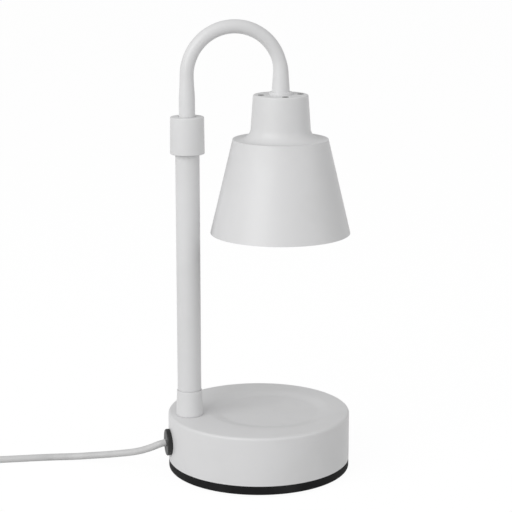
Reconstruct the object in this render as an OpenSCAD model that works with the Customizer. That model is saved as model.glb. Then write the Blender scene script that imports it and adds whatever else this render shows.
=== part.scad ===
// Candle warmer lamp: a weighted round base with a dish for a candle jar, a column with a locking
// collar, a hooked tube that slides and turns in the column, and a bell shade round a reflector lamp.
// Millimetres. +Z is up, z = 0 is the table, the origin is under the middle of the base, and +X runs
// from the column to the shade.

/* [Base] */
// Outer diameter of the base drum
base_d = 130; // [124:1:150]
// Height of the base's flat top above the table
base_h = 42; // [41:0.5:52]
// Wall thickness of the drum
base_wall = 2; // [1.6:0.1:2.4]
// Radius of the drum's soft top edge
base_edge = 2; // [1:0.1:2.6]
// Height of the seam between the white drum and the black tray
seam_h = 7.3; // [6.8:0.1:8.5]
// Radius of the tray's lower edge
tray_edge = 1.2; // [0.8:0.1:2.8]
// Thickness of the tray's floor
tray_floor = 2.5; // [2:0.1:3]
// Diameter of one rubber foot
foot_d = 14; // [10:0.5:16]
// How far the feet stand proud of the tray
foot_drop = 0.8; // [0.5:0.1:1.4]
// Thickness of the cast weight
ballast_t = 16; // [10:0.5:18]

/* [Candle dish] */
// Flat from the column's axis to the dish's edge
dish_clear = 12.5; // [12:0.5:18]
// Flat from the dish's edge to the drum's outer face, on the far side from the column
dish_rim = 12; // [9:0.5:20]
// Depth of the dish
dish_depth = 1.7; // [1.2:0.1:3.6]
// Width of the dish's sloping edge
dish_slope = 12; // [6:0.5:16]

/* [Column] */
// Distance of the column's axis from the drum's outer face
column_inset = 14.5; // [13.5:0.5:18]
// Outer diameter of the column tube
column_d = 16.8; // [16.4:0.1:17.6]
// Wall thickness of the column tube
column_wall = 1.2; // [1:0.1:1.5]
// Length of the column tube
column_len = 199; // [190:1:230]
// Diameter of the foot ferrule where it meets the drum
ferrule_d = 19.2; // [18.8:0.1:20.6]
// Wall of the foot ferrule at its top, where it is slimmest
ferrule_lip = 0.5; // [0.4:0.05:0.6]
// Height of the foot ferrule
ferrule_h = 18.3; // [12:0.1:26]
// Height of the shadow gap round the tube above the ferrule
shadow_gap = 0.8; // [0.4:0.1:1.2]

/* [Lock collar] */
// Diameter of the collar at its lower edge
collar_d = 24; // [22.6:0.1:26]
// Diameter of the collar at its top
collar_top_d = 23.4; // [21.8:0.1:25]
// Height of the collar
collar_h = 25.6; // [24:0.1:32]
// How far the collar reaches down over the column
collar_lap = 11; // [8:0.5:14]

/* [Hook] */
// Radius of the hook's bend at the tube's centreline
hook_r = 33; // [32:0.5:36]
// Diameter of the tube along the bend
rod_d = 9.6; // [9.4:0.1:10.6]
// Diameter of the straight leg that slides in the column
leg_d = 11.2; // [11:0.1:11.6]
// Diameter of the tube's mouth above the shade
mouth_d = 12.4; // [12:0.1:13]
// Height of the leg between the collar and the start of the bend
leg_show = 28; // [26:0.5:40]
// Height of the short leg above the shade's ring
mouth_h = 12.6; // [11:0.1:18]
// Length of the mouth before it narrows to the bend
mouth_straight = 5; // [2:0.5:8]
// How far the hook can be raised from the height shown
travel_up = 50; // [30:1:55]
// How far the hook can be lowered from the height shown
travel_down = 10; // [5:0.5:12]

/* [Shade] */
// Diameter of the shade's rim
rim_d = 98.6; // [94:0.2:106]
// Diameter of the crisp shoulder where the cone starts
shoulder_d = 67; // [64:0.2:72]
// Diameter of the neck's top
neck_d = 38.6; // [38:0.2:42]
// Diameter of the neck where its fillet starts
neck_foot_d = 41.8; // [41:0.2:45]
// Height of the neck above the shoulder
neck_h = 31; // [30:0.5:36]
// Height of the cone from the shoulder to the rim
cone_h = 66.4; // [62:0.2:80]
// Radius of the fillet between neck and shoulder
neck_fillet = 8; // [5:0.5:9]
// Thickness of the shade's metal
shade_wall = 1; // [0.8:0.1:1.4]
// Diameter of one vent hole in the neck's top
vent_d = 4.6; // [3:0.2:5.4]
// Distance of the vent holes from the shade's axis
vent_off = 14; // [13.6:0.2:14.6]

/* [Lampholder and lamp] */
// Diameter of the ceramic lampholder
holder_d = 28; // [27.6:0.2:30]
// Height of the ceramic lampholder
holder_h = 17; // [16:0.5:19]
// Distance between the lamp's two pins
pin_gap = 10; // [9.6:0.1:10.4]
// Turn that frees the lamp's pins, in degrees
lamp_turn = 30; // [24:1:34]
// Diameter of the lamp's front
lamp_d = 50; // [48:0.5:51]
// Length of the lamp from the holder's face to its front glass
lamp_len = 46; // [44:0.5:50]

/* [Cord outlet] */
// Height of the cord's outlet above the table
outlet_h = 22; // [21.5:0.1:23]
// Diameter of the grommet's flange
grommet_d = 19; // [16:0.5:21]
// How far the grommet stands out from the drum
grommet_out = 3; // [2:0.1:3.4]
// Diameter of the mains cord
cord_d = 5; // [4.6:0.1:5.2]

/* [Cord coil] */
// Turns of the coil's lower layer
coil_in = 3.5; // [3.5:1:4.5]
// Turns of the coil's upper layer
coil_out = 3.75; // [3.75:1:4.75]
// Radius of the coil's innermost turn
coil_inner = 20; // [20:0.5:24]
// Clear space between neighbouring turns
coil_space = 0.5; // [0.45:0.05:0.8]

/* [Dimmer] */
// Length of the dimmer's case
dimmer_l = 58; // [54:0.5:60]
// Width of the dimmer's case
dimmer_w = 26; // [25.6:0.2:29]
// Height of the dimmer's case
dimmer_h = 17; // [16.6:0.1:19]
// Diameter of the thumb wheel
wheel_d = 22; // [20.6:0.2:23]
// Thickness of the thumb wheel
wheel_t = 5; // [4:0.1:5.4]
// Ribs round the thumb wheel
wheel_ribs = 32; // [24:1:40]

/* [Plug] */
// Length of the plug's body
plug_l = 34; // [30:0.5:38]
// Width of the plug's body
plug_w = 24; // [22:0.5:26]
// Height of the plug's body
plug_h = 15.4; // [14:0.1:16]
// Distance between the plug's two blades
blade_gap = 12.7; // [12:0.1:13]
// Length of the plug's blades
blade_l = 17.5; // [15:0.5:18]

/* [Hidden] */

$fn = 96;
// Clearances. A slip fit turns or slides, a set fit is assembled once, and a free gap never touches.
slip = 0.08;
set_fit = 0.05;
free = 0.3;
// Overshoot of a cut past the face that it opens
cut = 1;

// Heights in the base
tray_z = foot_drop;
floor_z = tray_z + tray_floor;
base_r = base_d / 2;
drum_in_r = base_r - base_wall;
tray_r = base_r - 0.1;
lip_r = drum_in_r - free;
lip_t = 2;
lip_h = 4;
roof_z = base_h - base_wall;
dish_r = (base_d - column_inset - dish_clear - dish_rim) / 2;
dish_x = base_r - dish_rim - dish_r;
dish_z = base_h - dish_depth;
under_dish_z = dish_z - base_wall;

// Base screws, their posts in the tray and their bosses in the drum
post_off = base_r - 11;
post_r = 3.6;
boss_z = 14;
post_top = boss_z;
m3_r = 1.5;
m3_hole = 1.65;
m3_head_r = 2.8;
m3_head_t = 1.9;
m3_core_r = 1.25;
m3_pilot = 1.3;
base_screw_l = 20;
post_angles = [45, 135, 225, 315];

// Feet sit in pockets between the posts
foot_off = base_r - 14;
foot_pocket = 1.2;

// Cast weight on the tray's floor, from past the cord clamp to short of the foot pockets
ballast_left = column_inset - base_r + 24.5;
ballast_right = lip_r - lip_t - 10.7;
ballast_r = (ballast_right - ballast_left) / 2;
ballast_x = (ballast_right + ballast_left) / 2;
ballast_bolt_off = ballast_r - 12;
ballast_screw_l = 8;
m4_r = 2;
m4_hole = 2.1;
m4_head_r = 3.8;
m4_head_t = 1.6;

// Column
column_x = column_inset - base_r;
column_r = column_d / 2;
column_in_r = column_r - column_wall;
column_top = base_h + column_len;
plug_z = 12;
nipple_r = 5;
nipple_bore = 3.5;
nipple_below = 8;
washer_t = 1.2;
column_nut_t = 4;
column_nut_r = 8.1;

// Guide bush and collet at the column's top
bush_flange = 1.2;
bush_len = 20;
bush_bottom = column_top - bush_len;
leg_r = leg_d / 2;
leg_bore = leg_r + slip;
collet_z = column_top + bush_flange;
collet_h = 9.3;
collet_r = column_r - 0.3;
collet_top_r = collet_r - 1.2;
collar_z = column_top - collar_lap;
collar_top = collar_z + collar_h;

// Hook
rod_r = rod_d / 2;
rod_bore = 3.8;
leg_tube_bore = 4.2;
mouth_r = mouth_d / 2;
spring_z = collar_top + leg_show;
taper_z = collar_top + travel_down;
ring_t = 1.2;
ring_r = column_in_r - 0.4;
groove_r = leg_r - 0.6;
stop_h = 12;
stop_gap = 0.1;
upper_ring_z = bush_bottom - free - travel_up - ring_t;
stop_z = upper_ring_z - stop_gap - stop_h;
lower_ring_z = stop_z - stop_gap - ring_t;
leg_bottom = lower_ring_z - 3;

// Shade, hung under the hook's mouth
shade_x = column_x + 2 * hook_r;
shade_ring_t = 2;
shade_ring_r = 8.3;
mouth_z = spring_z - mouth_h;
neck_top = mouth_z - shade_ring_t;
shoulder_z = neck_top - neck_h;
rim_z = shoulder_z - cone_h;
vent_count = 4;

// Threaded tube, nut and bracket under the neck's top
tube_r = 4;
tube_bore = 2.6;
tube_up = 13;
bracket_t = 1;
nut_t = 4;
nut_r = 6.9;
bracket_drop = 6;
holder_top = neck_top - shade_wall - bracket_t - bracket_drop;
tube_down = shade_wall + bracket_t + nut_t + 0.6;
holder_screw_off = 10.5;

// Lampholder and lamp
holder_r = holder_d / 2;
holder_z = holder_top - holder_h;
face_t = 3.6;
slot_top = 10;
pin_r = 1.5;
pin_head_r = 2.5;
pin_head_t = 3;
pin_slot = pin_r + free;
head_slot = pin_head_r + free;
head_z = holder_z + face_t + free;
lamp_z = holder_z - free;
cap_r = 11.5;
cap_h = 13;
lamp_r = lamp_d / 2;
front_z = holder_z - lamp_len;
glass_t = 1.2;
lamp_band = 4;
lens_t = 2;

// Leads: two cores side by side
core_r = 1.1;
core_off = 1.2;
leads_z = base_h + plug_z + 10;

// Cord outlet
outlet_x = -base_r - grommet_out;
cord_r = cord_d / 2;
barrel_r = 6;
ridge_r = 6.9;
tail_l = 14;
clamp_x = column_x + 8;
clamp_l = 6;
clamp_w = 20;
clamp_top = outlet_h + 4.6;
clamp_split = 0.2;
clamp_screw_off = 7;
clamp_screw_l = 12;
inner_cord_end = clamp_x + 5;
block_at = [column_x + 18, 20];
block_size = [15, 17, 13];
block_pitch = 3.7;
block_wire_z = floor_z + 6.5;

// Dimmer, plug and coil on the table, past where the cord leaves the lamp
dimmer_end = -278;
dimmer_y = 58;
dimmer_axis = 7;
dimmer_split = 8;
case_wall = 1.6;
relief_l = 20;
relief_r = 4.4;
relief_tip_r = cord_r + 0.5;
wheel_out = 2.6;
wheel_z = dimmer_split + 1.2;
axle_r = 2;
dimmer_x = dimmer_end - dimmer_l / 2;
wheel_y = dimmer_y + dimmer_w / 2 + wheel_out - wheel_d / 2;
coil_pitch = cord_d + coil_space;
coil_join = [-383, 6];
coil_start_r = coil_inner + coil_in * coil_pitch;
coil_end_r = coil_inner + coil_out * coil_pitch;
coil_at = [coil_join.x + coil_start_r, coil_join.y - cord_d];
coil_turns = coil_in + coil_out;
coil_rings = 24;
coil_top_z = cord_r + coil_pitch;
coil_tail = 10;
plug_tip = [coil_at.x + coil_tail, coil_at.y - coil_end_r, coil_top_z];
plug_relief_l = 26;
plug_relief_r = 5;

// Free cord from the grommet to the dimmer's relief, as laid on the table
lamp_route = [[outlet_x, 0, outlet_h], [-73, 0.6, 20.6], [-78, 3.4, 17.8], [-84, 7.8, 14.6],
              [-91, 13, 11.8], [-99, 19, 9.4], [-108, 26, 6.8], [-118, 32.5, 4.6], [-129, 37.5, 3],
              [-141, 40.5, cord_r], [-155, 42, cord_r], [-170, 43, cord_r], [-186, 44.5, cord_r],
              [-202, 48, cord_r], [-217, 52.5, cord_r], [-231, 56, 3], [-243, 57.7, 4.8],
              [-251, dimmer_y, 6.4], [dimmer_end + relief_l, dimmer_y, dimmer_axis]];

// Free cord from the dimmer's other relief round to the coil
supply_route = [[dimmer_end - dimmer_l - relief_l, dimmer_y, dimmer_axis], [-361, dimmer_y, 6.6],
                [-367, 57, 5.6], [-373, 53.5, 4.4], [-378.5, 48, 3.2], [-382, 41, cord_r],
                [-383, 33, cord_r], [-383, 24, cord_r], [-383, 15, cord_r],
                [coil_join.x, coil_join.y, cord_r]];

// Points on an arc from angle a to angle b
function arc(x, y, r, a, b, n = 8) = [for (i = [0:n]) let (t = a + (b - a) * i / n) [x + r * cos(t),
    y + r * sin(t)]];

// Eases from 0 to 1 with level ends
function ease(t) = t * t * (3 - 2 * t);

function unit(v) = v / norm(v);

// Point at share t between b and c of a smooth curve through a, b, c and d
function between(a, b, c, d, t) =
    0.5 * (2 * b + (c - a) * t + (2 * a - 5 * b + 4 * c - d) * t * t + (3 * b - a - 3 * c + d) * t * t * t);

// A smooth line through the points p, with n steps between neighbours
function smooth(p, n) = let (m = len(p) - 1) concat(
    [for (i = [0:m - 1], k = [0:n - 1])
        between(i == 0 ? 2 * p[0] - p[1] : p[i - 1], p[i], p[i + 1],
                i == m - 1 ? 2 * p[m] - p[m - 1] : p[i + 2], k / n)],
    [p[m]]);

// Direction of a line at its point i
function heading(p, i) = unit(p[min(i + 1, len(p) - 1)] - p[max(i - 1, 0)]);

// A closed tube of radius r along the line p, its end faces square to ends a and b
module sweep(p, r, sides = 8, a = undef, b = undef) {
    n = len(p);
    points = [for (i = [0:n - 1]) let (
        d = i == 0 && !is_undef(a) ? a : i == n - 1 && !is_undef(b) ? b : heading(p, i),
        flat = abs(d.z) > 0.95 ? [1, 0, 0] : [0, 0, 1],
        u = unit(cross(flat, d)),
        v = cross(d, u))
        for (k = [0:sides - 1]) p[i] + r * (cos(360 * k / sides) * u + sin(360 * k / sides) * v)];
    walls = [for (i = [0:n - 2], k = [0:sides - 1]) let (
        j = i * sides, next = (k + 1) % sides)
        each [[j + k, j + next, j + sides + k], [j + next, j + sides + next, j + sides + k]]];
    caps = [[for (k = [sides - 1:-1:0]) k], [for (k = [0:sides - 1]) (n - 1) * sides + k]];
    polyhedron(points, concat([for (f = walls) [f[0], f[2], f[1]]],
        [for (c = caps) [for (k = [sides - 1:-1:0]) c[k]]]));
}

module at_column(z = 0) translate([column_x, 0, z]) children();
module at_shade(z = 0) translate([shade_x, 0, z]) children();

// A ring from radius b to radius a
module tube(a, b, h) difference() {
    cylinder(r = a, h = h);
    translate([0, 0, -cut]) cylinder(r = b, h = h + 2 * cut);
}

// A hexagonal nut with corners at radius a
module hex_nut(a, b, h) difference() {
    cylinder(r = a, h = h, $fn = 6);
    translate([0, 0, -cut]) cylinder(r = b, h = h + 2 * cut);
}

// A pan-head screw, head down, its head's face at z = 0
module screw(r, l, head_r, head_t) {
    rotate_extrude() polygon([[0, 0.4], [0.4, 0], [head_r - 0.5, 0], [head_r, 0.5], [head_r, head_t],
        [r, head_t],
                              [r, head_t + l - 0.6], [r - 0.6, head_t + l], [0, head_t + l]]);
}

// A rectangle with rounded corners
module soft_rect(l, w, r) {
    square([l - 2 * r, w], center = true);
    square([l, w - 2 * r], center = true);
    for (x = [-1, 1], y = [-1, 1]) translate([x * (l / 2 - r), y * (w / 2 - r)]) circle(r = r, $fn = 32);
}

// The dish's S-shaped wall, from its lip down to its floor
dish_wall = [for (i = [0:10]) [dish_r - dish_slope * i / 10, base_h - dish_depth * ease(i / 10)]];

module base_shell() color("white") difference() {
    union() {
        difference() {
            rotate_extrude($fn = 180) polygon(concat([[0, seam_h], [base_r, seam_h]],
                arc(base_r - base_edge, base_h - base_edge, base_edge, 0, 90), [[0, base_h]]));
            translate([0, 0, seam_h - cut]) cylinder(r = drum_in_r, h = roof_z - seam_h + cut, $fn = 180);
        }
        // metal under the dish
        translate([dish_x, 0, under_dish_z]) cylinder(r = dish_r + 1, h = roof_z - under_dish_z + 0.5);
        for (a = post_angles) rotate(a) translate([post_off, 0, boss_z])
            cylinder(r = post_r, h = roof_z - boss_z + 0.5, $fn = 32);
    }
    translate([dish_x, 0, 0]) rotate_extrude($fn = 180)
        polygon(concat([[0, base_h + cut], [dish_r, base_h + cut]], dish_wall, [[0, dish_z]]));
    at_column(roof_z - cut) cylinder(r = nipple_r + 0.15, h = base_wall + 2 * cut);
    translate([-base_r - cut, 0, outlet_h]) rotate([0, 90, 0])
        cylinder(r = barrel_r + 0.15, h = base_wall + 4);
    for (a = post_angles) rotate(a) translate([post_off, 0, boss_z - cut])
        cylinder(r = m3_pilot, h = base_screw_l - 7, $fn = 24);
}

module base_tray() color("#222222") difference() {
    union() {
        rotate_extrude($fn = 180) polygon(concat([[0, tray_z]],
            arc(tray_r - tray_edge, tray_z + tray_edge, tray_edge, -90, 0),
            [[tray_r, seam_h], [lip_r, seam_h], [lip_r, seam_h + lip_h], [lip_r - lip_t, seam_h + lip_h],
             [lip_r - lip_t, floor_z], [0, floor_z]]));
        for (a = post_angles) rotate(a) translate([post_off, 0, floor_z - 0.5])
            cylinder(r = post_r, h = post_top - floor_z + 0.5, $fn = 32);
        // tower under the cord clamp
        translate([clamp_x - clamp_l / 2, -clamp_w / 2, floor_z - 0.5])
            cube([clamp_l, clamp_w, outlet_h - clamp_split - floor_z + 0.5]);
    }
    for (a = post_angles) rotate(a) translate([post_off, 0, 0]) {
        cylinder(r = m3_hole, h = post_top + cut, $fn = 24);
        cylinder(r = m3_head_r + 0.3, h = tray_z + m3_head_t + 0.6, $fn = 32);
    }
    for (a = [0, 90, 180, 270]) rotate(a) translate([foot_off, 0, tray_z - cut])
        cylinder(d = foot_d + 0.1, h = foot_pocket + cut, $fn = 64);
    for (a = [0, 120, 240]) translate([ballast_x, 0, 0]) rotate(a) translate([ballast_bolt_off, 0, 0]) {
        cylinder(r = m4_hole, h = floor_z + cut, $fn = 24);
        cylinder(r = m4_head_r + 0.3, h = tray_z + m4_head_t, $fn = 32);
    }
    translate([clamp_x - clamp_l, 0, outlet_h]) rotate([0, 90, 0])
        cylinder(r = cord_r, h = 2 * clamp_l, $fn = 32);
    for (y = [-1, 1]) translate([clamp_x, y * clamp_screw_off, outlet_h - 9])
        cylinder(r = m3_pilot, h = 10, $fn = 24);
}

module ballast_weight() color("dimgray") translate([ballast_x, 0, floor_z]) difference() {
    rotate_extrude($fn = 120) polygon([[0, 0], [ballast_r - 1, 0], [ballast_r, 1],
        [ballast_r, ballast_t - 1],
                                       [ballast_r - 1, ballast_t], [0, ballast_t]]);
    for (a = [0, 120, 240]) rotate(a) translate([ballast_bolt_off, 0, -cut])
        cylinder(r = m4_hole, h = ballast_screw_l + 1 + cut, $fn = 24);
}

module ballast_screws() color("silver") for (a = [0, 120, 240]) translate([ballast_x, 0, tray_z]) rotate(a)
    translate([ballast_bolt_off, 0, 0]) screw(m4_r, ballast_screw_l, m4_head_r, m4_head_t);

module base_screws() color("silver") for (a = post_angles) rotate(a)
    translate([post_off, 0, tray_z + 0.6]) screw(m3_core_r, base_screw_l, m3_head_r, m3_head_t);

module rubber_feet() color("#333333") for (a = [0, 90, 180, 270]) rotate(a) translate([foot_off, 0, 0])
    rotate_extrude($fn = 64) polygon([[0, 0], [foot_d / 2 - 0.6, 0], [foot_d / 2, 0.5],
        [foot_d / 2, tray_z + foot_pocket], [0, tray_z + foot_pocket]]);

// Black bush in the drum's wall: flange outside, barrel and snap ridge through the wall, soft tapered tail inside
module cord_grommet() color("#222222") difference() {
    translate([outlet_x, 0, outlet_h]) rotate([0, 90, 0]) rotate_extrude($fn = 64) {
        ridge = grommet_out + base_wall + 0.7;
        polygon(concat([[cord_r + set_fit, 0]],
            arc(grommet_d / 2 - 0.8, 0.8, 0.8, -90, 0, 4),
            [[grommet_d / 2, grommet_out + 0.72], [barrel_r, grommet_out + 0.72], [barrel_r, ridge],
                [ridge_r, ridge + 0.3],
             [ridge_r - 0.9, ridge + 2], [cord_r + 1.4, ridge + 2 + tail_l * 0.3],
                 [cord_r + 0.9, ridge + tail_l],
             [cord_r + set_fit, ridge + tail_l]]));
    }
    // the flange's back is hollowed to the drum's curve
    difference() {
        intersection() {
            translate([0, 0, seam_h]) cylinder(r = base_r, h = base_h, $fn = 180);
            translate([outlet_x, -grommet_d, outlet_h - grommet_d])
                cube([grommet_out + cut, 2 * grommet_d, 2 * grommet_d]);
        }
        translate([outlet_x, 0, outlet_h]) rotate([0, 90, 0]) cylinder(r = barrel_r + 0.02, h = 40);
    }
}

module cord_clamp() color("white") difference() {
    translate([clamp_x - clamp_l / 2, -clamp_w / 2, outlet_h + clamp_split])
        cube([clamp_l, clamp_w, clamp_top - outlet_h - clamp_split]);
    translate([clamp_x - clamp_l, 0, outlet_h]) rotate([0, 90, 0])
        cylinder(r = cord_r, h = 2 * clamp_l, $fn = 32);
    for (y = [-1, 1]) translate([clamp_x, y * clamp_screw_off, outlet_h])
        cylinder(r = m3_hole, h = 10, $fn = 24);
}

module clamp_screws() color("silver") for (y = [-1, 1])
    translate([clamp_x, y * clamp_screw_off, clamp_top + m3_head_t]) rotate([180, 0, 0])
    screw(m3_core_r, clamp_screw_l, m3_head_r, m3_head_t);

// The mains cord's jacketed end, held in the grommet and under the clamp
module inner_cord() color("white") translate([outlet_x, 0, outlet_h]) rotate([0, 90, 0])
    cylinder(r = cord_r, h = inner_cord_end - outlet_x, $fn = 32);

module terminal_block() color("ivory") difference() {
    translate([block_at.x - block_size.x / 2, block_at.y - block_size.y / 2, floor_z]) cube(block_size);
    for (x = [-1, 1]) {
        translate([block_at.x + block_pitch * x, block_at.y - block_size.y, block_wire_z])
            rotate([-90, 0, 0]) cylinder(r = core_r + 0.4, h = block_size.y * 2, $fn = 24);
        for (y = [-1, 1]) translate([block_at.x + block_pitch * x, block_at.y + 4 * y, block_wire_z])
            cylinder(r = 1.8, h = 20, $fn = 24);
    }
    translate([block_at.x - 0.75, block_at.y - block_size.y, floor_z + 9])
        cube([1.5, block_size.y * 2, 10]);
}

// Two cores from the jacket's end down into the terminal block
module mains_cores() color("saddlebrown") for (s = [-1, 1]) {
    entry_x = block_at.x - block_pitch * s;
    sweep(smooth([[inner_cord_end, core_off * s, outlet_h],
                  [inner_cord_end + 2.6 - 0.8 * s, core_off * s, outlet_h - 0.4],
                  [block_at.x - 2 * s, 1.5 + 1.5 * s, outlet_h - 3.4],
                  [block_at.x - 3.2 * s, 4.2 + s, block_wire_z + 3.8],
                  [entry_x, 7.8 + 0.4 * s, block_wire_z + 0.7],
                  [entry_x, 11, block_wire_z],
                  [entry_x, block_at.y - 5, block_wire_z]], 3),
          core_r, 8, [1, 0, 0], [0, 1, 0]);
}

// Two cores from the terminal block over its top and up into the column, one above the other on the way
module riser_leads() color("saddlebrown") for (s = [-1, 1]) {
    exit_x = block_at.x + block_pitch * s;
    bend = 6 - core_off * s;
    bend_z = outlet_h + 12;
    sweep(smooth([[exit_x, block_at.y + 5, block_wire_z],
                  [exit_x, block_at.y + 10, block_wire_z + 0.5],
                  [exit_x - 1, block_at.y + 12.5, block_wire_z + 5.7],
                  [block_at.x - 5 + 3 * s, block_at.y + 9, outlet_h + 0.5 + 1.3 * s],
                  [column_x + 6 + 1.5 * s, 17, outlet_h + 4.5 + 1.3 * s],
                  [column_x + 1, 10, outlet_h + 6 + 1.2 * s],
                  [column_x, 6, bend_z - bend],
                  [column_x, 6 - 0.707 * bend, bend_z - 0.707 * bend],
                  [column_x, core_off * s, bend_z],
                  [column_x, core_off * s, base_h + 3],
                  [column_x, core_off * s, leads_z]], 3),
          core_r, 8, [0, 1, 0], [0, 0, 1]);
}

// Drawn tube, with a fine groove round it where the ferrule ends
module column_tube() color("white") at_column(base_h) difference() {
    tube(column_r, column_in_r, column_len);
    translate([0, 0, ferrule_h]) tube(column_r + cut, column_r - column_wall / 2, shadow_gap);
}

// Slightly tapered sleeve over the tube's foot
module column_ferrule() color("white") at_column(base_h) rotate_extrude()
    polygon(concat([[column_r + set_fit, 0], [ferrule_d / 2, 0]],
        arc(column_r + ferrule_lip - 0.3, ferrule_h - 0.3, 0.3, 0, 90, 4),
        [[column_r + set_fit, ferrule_h]]));

module column_plug() color("goldenrod") at_column(base_h) tube(column_in_r - set_fit, nipple_r + set_fit,
    plug_z);

module column_nipple() color("goldenrod") at_column(roof_z - nipple_below)
    tube(nipple_r, nipple_bore, nipple_below + base_wall + plug_z);

module column_washer() color("silver") at_column(roof_z - washer_t)
    tube(column_nut_r, nipple_r + set_fit, washer_t);

module column_nut() color("silver") at_column(roof_z - washer_t - column_nut_t)
    hex_nut(column_nut_r, nipple_r + set_fit, column_nut_t);

// Slack leads in the column, which stretch and fold as the hook slides
module column_leads() color("saddlebrown") at_column(leads_z) for (s = [-1, 1])
    translate([0, s * core_off, 0]) cylinder(r = core_r, h = leg_bottom - leads_z, $fn = 24);

module guide_bush() color("white") at_column(bush_bottom) difference() {
    union() {
        cylinder(r = column_in_r - set_fit, h = bush_len);
        translate([0, 0, bush_len]) cylinder(r = column_r - 0.1, h = bush_flange);
    }
    translate([0, 0, -cut]) cylinder(r = leg_bore, h = bush_len + bush_flange + 2 * cut);
}

// Split cone that the collar squeezes on to the leg
module collet() color("ghostwhite") at_column(collet_z) difference() {
    cylinder(r1 = collet_r, r2 = collet_top_r, h = collet_h);
    translate([0, 0, -cut]) cylinder(r = leg_bore, h = collet_h + 2 * cut);
    for (a = [0, 120, 240]) rotate(a + 60) translate([0, -0.6, a == 0 ? -cut : 2])
        cube([collet_r + cut, 1.2, collet_h + 2 * cut]);
}

module lock_collar() color("white") at_column(collar_z) {
    turn_in = collar_lap + bush_flange + free;
    rotate_extrude() polygon(concat([[column_r + slip, 0.5], [column_r + slip + 0.5, 0],
        [collar_d / 2 - 0.4, 0], [collar_d / 2, 0.4]],
        arc(collar_top_d / 2 - 0.7, collar_h - 0.7, 0.7, 0, 90, 5),
        [[leg_r + free + 0.4, collar_h], [leg_r + free, collar_h - 0.4], [leg_r + free, turn_in + collet_h],
         [collet_top_r + free, turn_in + collet_h], [column_r + slip, turn_in]]));
}

module stop_bush() color("white") at_column(stop_z) tube(column_in_r - slip, leg_bore, stop_h);

// One bent tube: sliding leg, half-round bend and short leg over the shade, its ends swaged out
module hook_tube() color("white") difference() {
    union() {
        at_column() {
            translate([0, 0, leg_bottom]) cylinder(r = leg_r, h = taper_z - leg_bottom);
            translate([0, 0, taper_z]) cylinder(r1 = leg_r, r2 = rod_r, h = spring_z - taper_z);
        }
        translate([column_x + hook_r, 0, spring_z]) rotate([90, 0, 0])
            rotate_extrude(angle = 180, $fn = 180)
            translate([hook_r, 0]) circle(r = rod_r, $fn = 64);
        at_shade(mouth_z) {
            cylinder(r = mouth_r, h = mouth_straight);
            translate([0, 0, mouth_straight]) cylinder(r1 = mouth_r, r2 = rod_r,
                h = mouth_h - mouth_straight);
        }
    }
    at_column() {
        translate([0, 0, leg_bottom - cut]) cylinder(r = leg_tube_bore, h = taper_z - leg_bottom + cut);
        translate([0, 0, taper_z]) cylinder(r = rod_bore, h = spring_z - taper_z);
        for (z = [lower_ring_z, upper_ring_z]) translate([0, 0, z]) tube(leg_r + cut, groove_r, ring_t);
    }
    translate([column_x + hook_r, 0, spring_z]) rotate([90, 0, 0]) rotate_extrude(angle = 180, $fn = 180)
        translate([hook_r, 0]) circle(r = rod_bore, $fn = 48);
    at_shade(mouth_z - cut) {
        cylinder(r = rod_bore, h = mouth_h + cut);
        cylinder(r = tube_r + set_fit, h = tube_up - shade_ring_t + cut + 0.2);
    }
}

// Spring rings in the leg's grooves, which keep the stop bush in place
module leg_rings() color("silver") for (z = [lower_ring_z, upper_ring_z]) at_column(z) difference() {
    tube(ring_r, groove_r + 0.02, ring_t);
    rotate(180) translate([0, 0, -cut]) linear_extrude(ring_t + 2 * cut)
        polygon([[0, 0], [12, -5], [12, 5]]);
}

module hook_leads() color("saddlebrown") for (s = [-1, 1]) translate([0, s * core_off, 0]) {
    at_column(leg_bottom) cylinder(r = core_r, h = spring_z - leg_bottom, $fn = 24);
    translate([column_x + hook_r, 0, spring_z]) rotate([90, 0, 0]) rotate_extrude(angle = 180, $fn = 120)
        translate([hook_r, 0]) circle(r = core_r, $fn = 24);
    at_shade(holder_top - 3) cylinder(r = core_r, h = spring_z - holder_top + 3, $fn = 24);
}

module shade_ring() color("white") at_shade(neck_top) rotate_extrude()
    polygon(concat([[tube_r + set_fit, 0], [shade_ring_r, 0]], arc(shade_ring_r - 0.6, shade_ring_t - 0.6,
        0.6, 0, 90, 4),
                   [[tube_r + set_fit, shade_ring_t]]));

module shade_nipple() color("goldenrod") at_shade(neck_top - tube_down)
    tube(tube_r, tube_bore, tube_down + tube_up);

module shade_nut() color("goldenrod") at_shade(neck_top - shade_wall - bracket_t - nut_t)
    hex_nut(nut_r, tube_r + set_fit, nut_t);

// Pressed bell: closed neck top, slightly flared neck, wide fillet, flat shoulder, straight cone
module shade_shell() color("white") at_shade() difference() {
    lean = atan2((rim_d - shoulder_d) / 2, cone_h);
    side = shade_wall / cos(lean);
    neck_foot = shoulder_z + neck_fillet;
    fillet_x = neck_foot_d / 2 + neck_fillet;
    rotate_extrude($fn = 180) polygon(concat(
        [[0, neck_top]], arc(neck_d / 2 - 1, neck_top - 1, 1, 90, 0, 5),
        arc(fillet_x, neck_foot, neck_fillet, 180, 270, 12),
        [[shoulder_d / 2, shoulder_z], [rim_d / 2, rim_z], [rim_d / 2 - side, rim_z],
         [shoulder_d / 2 - side, shoulder_z - shade_wall]],
        arc(fillet_x, neck_foot, neck_fillet + shade_wall, 270, 180, 12),
        [[neck_d / 2 - shade_wall, neck_top - shade_wall], [0, neck_top - shade_wall]]));
    translate([0, 0, neck_top - shade_wall - cut]) {
        cylinder(r = tube_r + 0.15, h = shade_wall + 2 * cut);
        for (i = [0:vent_count - 1]) rotate(i * 360 / vent_count) translate([vent_off, 0, 0])
            cylinder(d = vent_d, h = shade_wall + 2 * cut, $fn = 32);
    }
}

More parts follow.
